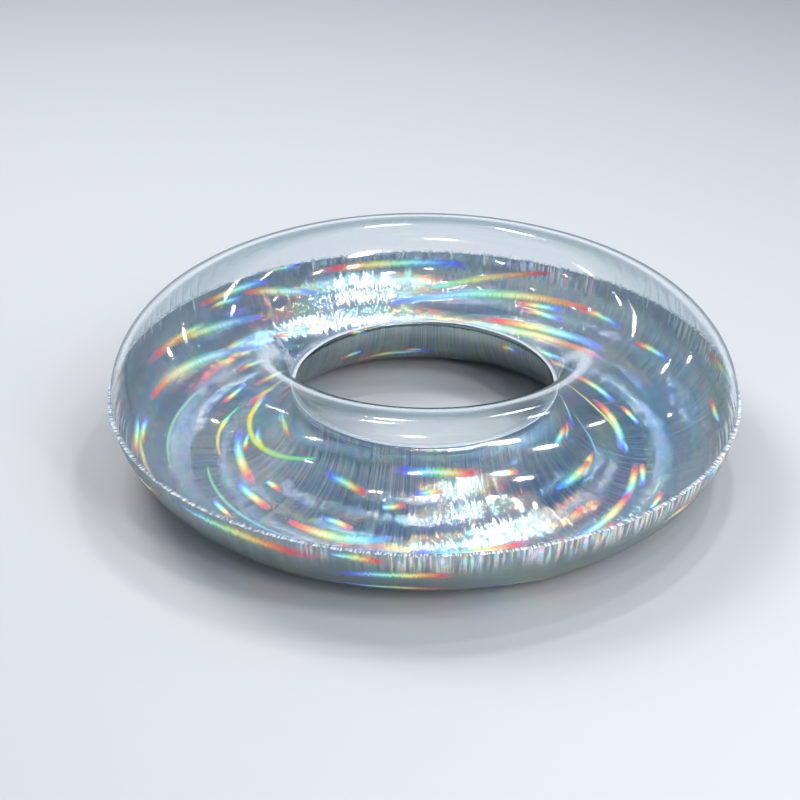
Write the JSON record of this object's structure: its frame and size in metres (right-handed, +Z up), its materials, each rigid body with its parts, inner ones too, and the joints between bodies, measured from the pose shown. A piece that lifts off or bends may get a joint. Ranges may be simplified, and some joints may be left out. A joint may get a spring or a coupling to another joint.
{
  "type": "inflatable pool float",
  "caption": "Inflatable swim ring with a clear upper film, an iridescent mirror lower film and a push-in inflation valve on the wall of the hole.",
  "frame": {"origin": "centre of the hole, on the plane that the ring rests on", "axes": "+Z up along the axis of the hole, -X towards the inflation valve, -Y towards the viewer"},
  "size_m": [1.07, 1.07, 0.265],
  "materials": {
    "clear_film": "gloss",
    "mirror_film": "gloss",
    "weld": "satin",
    "soft_vinyl": "gloss"
  },
  "bodies": {
    "ring": {"top_panel": "clear_film", "bottom_panel": "mirror_film", "outer_weld": "weld", "inner_weld": "weld", "valve_flange": "soft_vinyl", "valve_skirt": "soft_vinyl"},
    "stem": {"valve_stem": "soft_vinyl"},
    "flap": {"check_flap": "soft_vinyl"},
    "plug": {"valve_plug": "soft_vinyl", "plug_strap": "soft_vinyl"}
  },
  "joints": [
    {"name": "stem_pull", "type": "slide", "parent": "ring", "child": "stem", "axis": [0.8351, 0, 0.5501], "range_m": [0, 0.012]},
    {"name": "flap_open", "type": "hinge", "parent": "stem", "child": "flap", "pos_m": [-0.26017, 0, 0.19516], "axis": [0, 1, 0], "range_deg": [0, 60], "stiffness_Nm_per_rad": 0.00002, "springref_deg": -20.05},
    {"name": "plug_open", "type": "hinge", "parent": "stem", "child": "plug", "pos_m": [-0.23886, 0, 0.1898], "axis": [0, 1, 0], "range_deg": [0, 165]}
  ]
}
